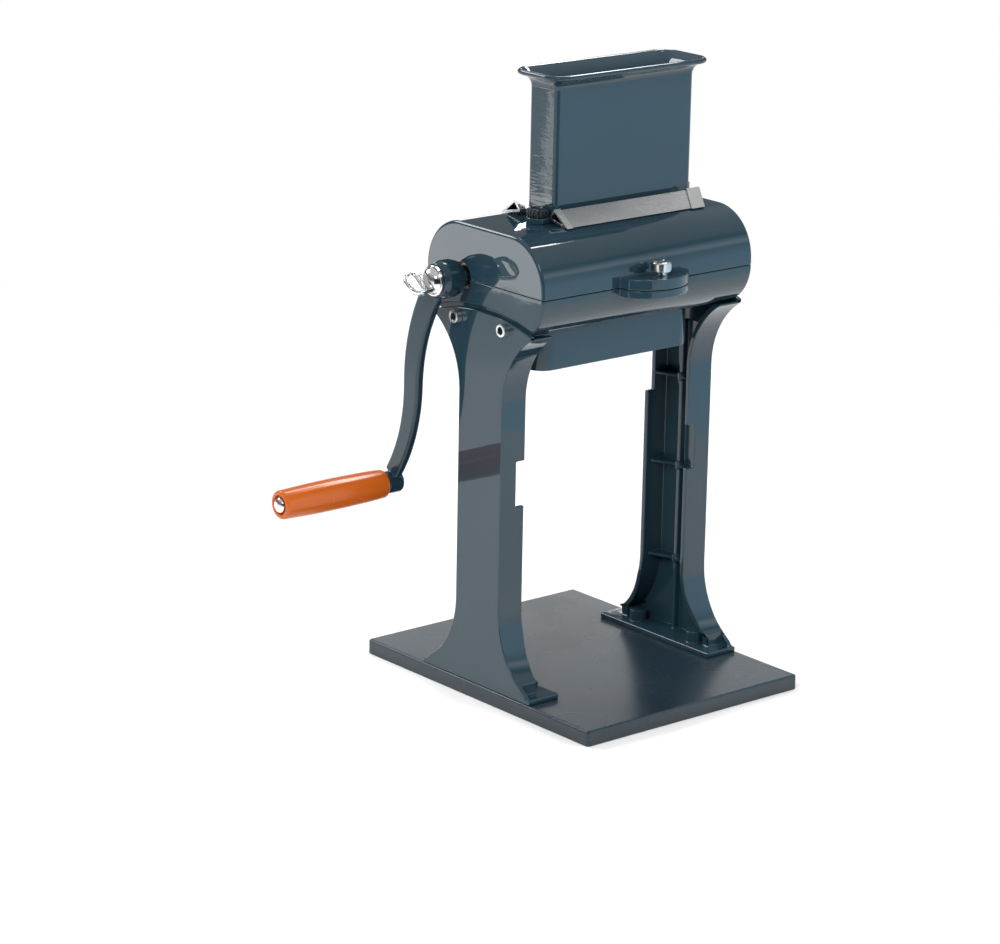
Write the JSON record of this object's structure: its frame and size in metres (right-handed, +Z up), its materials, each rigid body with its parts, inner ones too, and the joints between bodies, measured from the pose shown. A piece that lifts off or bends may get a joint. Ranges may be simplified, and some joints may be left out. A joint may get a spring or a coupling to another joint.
{
  "type": "hand crank meat tenderizer",
  "caption": "Free-standing hand-cranked tenderizer: a tall hopper feeds two meshing blade rollers in a cast housing on two legs and a base plate.",
  "frame": {"origin": "centre of the base board's underside", "axes": "+Z up; +X along the roller shafts away from the crank; -Y is the front"},
  "size_m": [0.3482, 0.265, 0.4785],
  "materials": {
    "body_paint": "gloss",
    "base_paint": "satin",
    "crank_paint": "gloss",
    "zinc_steel": "satin",
    "bright_steel": "polished",
    "dark_steel": "satin",
    "blade_steel": "satin",
    "comb_steel": "satin",
    "gear_iron": "machined",
    "bronze": "machined",
    "grip_orange": "gloss"
  },
  "bodies": {
    "root": {"base_board": "base_paint", "base_screws": "zinc_steel", "left_leg": "body_paint", "right_leg": "body_paint", "leg_screws": "zinc_steel", "lower_housing": "body_paint", "shaft_bushings": "bronze"},
    "drive_roller": {"drive_shaft": "bright_steel", "drive_blades": "blade_steel", "drive_spacers": "zinc_steel", "drive_stack_nut": "zinc_steel", "drive_gear": "gear_iron", "drive_gear_key": "zinc_steel", "crank_arm": "crank_paint", "grip_bolt": "bright_steel"},
    "idle_roller": {"idle_shaft": "bright_steel", "idle_blades": "blade_steel", "idle_spacers": "zinc_steel", "idle_stack_nut": "zinc_steel", "idle_gear": "gear_iron", "idle_gear_key": "zinc_steel"},
    "grip": {"crank_grip": "grip_orange"},
    "wing": {"wing_screw": "bright_steel"},
    "cover": {"cover": "body_paint"},
    "hopper": {"hopper": "body_paint"},
    "left_knob": {"left_hopper_knob": "dark_steel"},
    "right_knob": {"right_hopper_knob": "dark_steel"},
    "front_screw": {"front_thumb_screw": "bright_steel"},
    "rear_screw": {"rear_thumb_screw": "bright_steel"},
    "front_comb": {"front_comb": "comb_steel", "front_comb_clips": "comb_steel"},
    "rear_comb": {"rear_comb": "comb_steel", "rear_comb_clips": "comb_steel"}
  },
  "joints": [
    {"name": "crank_spin", "type": "hinge", "parent": "root", "child": "drive_roller", "pos_m": [0, 0.026, 0.326], "axis": [1, 0, 0], "continuous": true},
    {"name": "idle_spin", "type": "hinge", "parent": "root", "child": "idle_roller", "pos_m": [0, -0.026, 0.326], "axis": [1, 0, 0], "continuous": true},
    {"name": "grip_spin", "type": "hinge", "parent": "drive_roller", "child": "grip", "pos_m": [-0.18, 0.078, 0.158], "axis": [1, 0, 0], "continuous": true},
    {"name": "wing_turn", "type": "hinge", "parent": "drive_roller", "child": "wing", "pos_m": [-0.13, 0.026, 0.326], "axis": [1, 0, 0], "continuous": true},
    {"name": "cover_lift", "type": "slide", "parent": "root", "child": "cover", "axis": [0, 0, 1], "range_m": [0, 0.12]},
    {"name": "hopper_lift", "type": "slide", "parent": "cover", "child": "hopper", "axis": [0, 0, 1], "range_m": [0, 0.04]},
    {"name": "left_knob_turn", "type": "hinge", "parent": "hopper", "child": "left_knob", "pos_m": [-0.0595, -0.007, 0.37], "axis": [0, 0, 1], "continuous": true},
    {"name": "right_knob_turn", "type": "hinge", "parent": "hopper", "child": "right_knob", "pos_m": [0.0945, 0.007, 0.37], "axis": [0, 0, 1], "continuous": true},
    {"name": "front_screw_turn", "type": "hinge", "parent": "cover", "child": "front_screw", "pos_m": [0, -0.0795, 0.34], "axis": [0, 0, 1], "continuous": true},
    {"name": "rear_screw_turn", "type": "hinge", "parent": "cover", "child": "rear_screw", "pos_m": [0, 0.0795, 0.34], "axis": [0, 0, 1], "continuous": true},
    {"name": "front_comb_lift", "type": "slide", "parent": "cover", "child": "front_comb", "axis": [0, 0, 1], "range_m": [0, 0.07]},
    {"name": "rear_comb_lift", "type": "slide", "parent": "cover", "child": "rear_comb", "axis": [0, 0, 1], "range_m": [0, 0.07]}
  ],
  "couplings": [
    {"joint": "idle_spin", "follows": "crank_spin", "ratio": -1}
  ]
}
